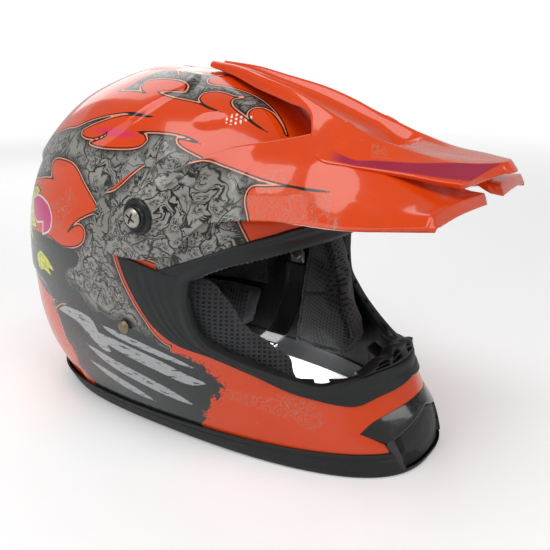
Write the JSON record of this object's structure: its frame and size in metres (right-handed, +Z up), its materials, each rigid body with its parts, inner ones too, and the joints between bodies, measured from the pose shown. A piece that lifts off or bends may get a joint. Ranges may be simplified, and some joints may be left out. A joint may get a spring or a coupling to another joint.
{
  "type": "motocross helmet",
  "caption": "Full-face off-road motorcycle helmet with an open eyeport for goggles, a long chin bar with a vent and an adjustable sun peak.",
  "frame": {"origin": "on the flat bottom rim plane, on the symmetry plane, below the middle of the overall length (bottom centre of the bounding box)", "axes": "+Z up, -Y the way the wearer looks, +X the wearer's left; the helmet stands on its rim in the plane z = 0"},
  "size_m": [0.256, 0.403, 0.2726],
  "materials": {
    "outer_shell": "painted composite shell, clear coated",
    "bottom_edge_trim": "matte black rubber U-section trim",
    "eyeport_trim": "matte black moulded rubber",
    "nose_guard": "matte black flexible plastic",
    "chin_vent_frame": "gloss black",
    "chin_vent_panel": "matte dark grey",
    "chin_vent_mesh": "black coated wire mesh",
    "eps_liner": "black expanded foam",
    "chin_eps": "black expanded foam",
    "crown_liner": "dark grey brushed knit",
    "cheek_pad_left": "dark grey open spacer mesh",
    "cheek_pad_right": "dark grey open spacer mesh",
    "neck_roll": "dark grey knit",
    "peak": "painted injection moulded peak, clear coated",
    "peak_washer_left": "black stepped washer",
    "peak_washer_right": "black stepped washer",
    "peak_screw_left": "nickel plated, slotted",
    "peak_screw_right": "nickel plated, slotted",
    "peak_nut_left": "zinc plated",
    "peak_nut_right": "zinc plated",
    "strap_rivet_left": "antique nickel dome",
    "strap_rivet_right": "antique nickel dome",
    "strap_plate_left": "zinc plated",
    "strap_plate_right": "zinc plated",
    "chin_strap_left": "black woven webbing",
    "chin_strap_right": "black woven webbing",
    "d_ring_lower": "polished steel",
    "d_ring_upper": "polished steel"
  },
  "bodies": {
    "helmet": {"outer_shell": "outer_shell", "bottom_edge_trim": "bottom_edge_trim", "eyeport_trim": "eyeport_trim", "nose_guard": "nose_guard", "chin_vent_frame": "chin_vent_frame", "chin_vent_panel": "chin_vent_panel", "chin_vent_mesh": "chin_vent_mesh", "eps_liner": "eps_liner", "chin_eps": "chin_eps", "crown_liner": "crown_liner", "cheek_pad_left": "cheek_pad_left", "cheek_pad_right": "cheek_pad_right", "neck_roll": "neck_roll", "peak_nut_left": "peak_nut_left", "peak_nut_right": "peak_nut_right", "strap_rivet_left": "strap_rivet_left", "strap_rivet_right": "strap_rivet_right"},
    "peak": {"peak": "peak"},
    "peak_screw_left": {"peak_screw_left": "peak_screw_left", "peak_washer_left": "peak_washer_left"},
    "peak_screw_right": {"peak_screw_right": "peak_screw_right", "peak_washer_right": "peak_washer_right"},
    "chin_strap_left": {"chin_strap_left": "chin_strap_left", "strap_plate_left": "strap_plate_left"},
    "chin_strap_right": {"chin_strap_right": "chin_strap_right", "strap_plate_right": "strap_plate_right"},
    "d_ring_lower": {"d_ring_lower": "d_ring_lower"},
    "d_ring_upper": {"d_ring_upper": "d_ring_upper"}
  },
  "joints": [
    {"name": "peak_tilt", "type": "hinge", "parent": "helmet", "child": "peak", "pos_m": [0, -0.012, 0.1795], "axis": [1, 0, 0], "range_deg": [-1.5, 5]},
    {"name": "screw_turn_left", "type": "hinge", "parent": "helmet", "child": "peak_screw_left", "pos_m": [0.12, -0.012, 0.1795], "axis": [1, 0, 0], "continuous": true},
    {"name": "screw_turn_right", "type": "hinge", "parent": "helmet", "child": "peak_screw_right", "pos_m": [-0.12, -0.012, 0.1795], "axis": [1, 0, 0], "continuous": true},
    {"name": "strap_swing_left", "type": "hinge", "parent": "helmet", "child": "chin_strap_left", "pos_m": [0.102, 0.0155, 0.0958], "axis": [1, 0, 0], "range_deg": [-7, 9]},
    {"name": "strap_swing_right", "type": "hinge", "parent": "helmet", "child": "chin_strap_right", "pos_m": [-0.102, 0.0155, 0.0958], "axis": [1, 0, 0], "range_deg": [-7, 9]},
    {"name": "lower_ring_turn", "type": "hinge", "parent": "chin_strap_left", "child": "d_ring_lower", "pos_m": [0.046, 0.0155, 0.0191], "axis": [0, 1, 0], "range_deg": [-30, 3]},
    {"name": "upper_ring_turn", "type": "hinge", "parent": "chin_strap_left", "child": "d_ring_upper", "pos_m": [0.046, 0.0155, 0.0249], "axis": [0, 1, 0], "range_deg": [-3, 60]}
  ]
}
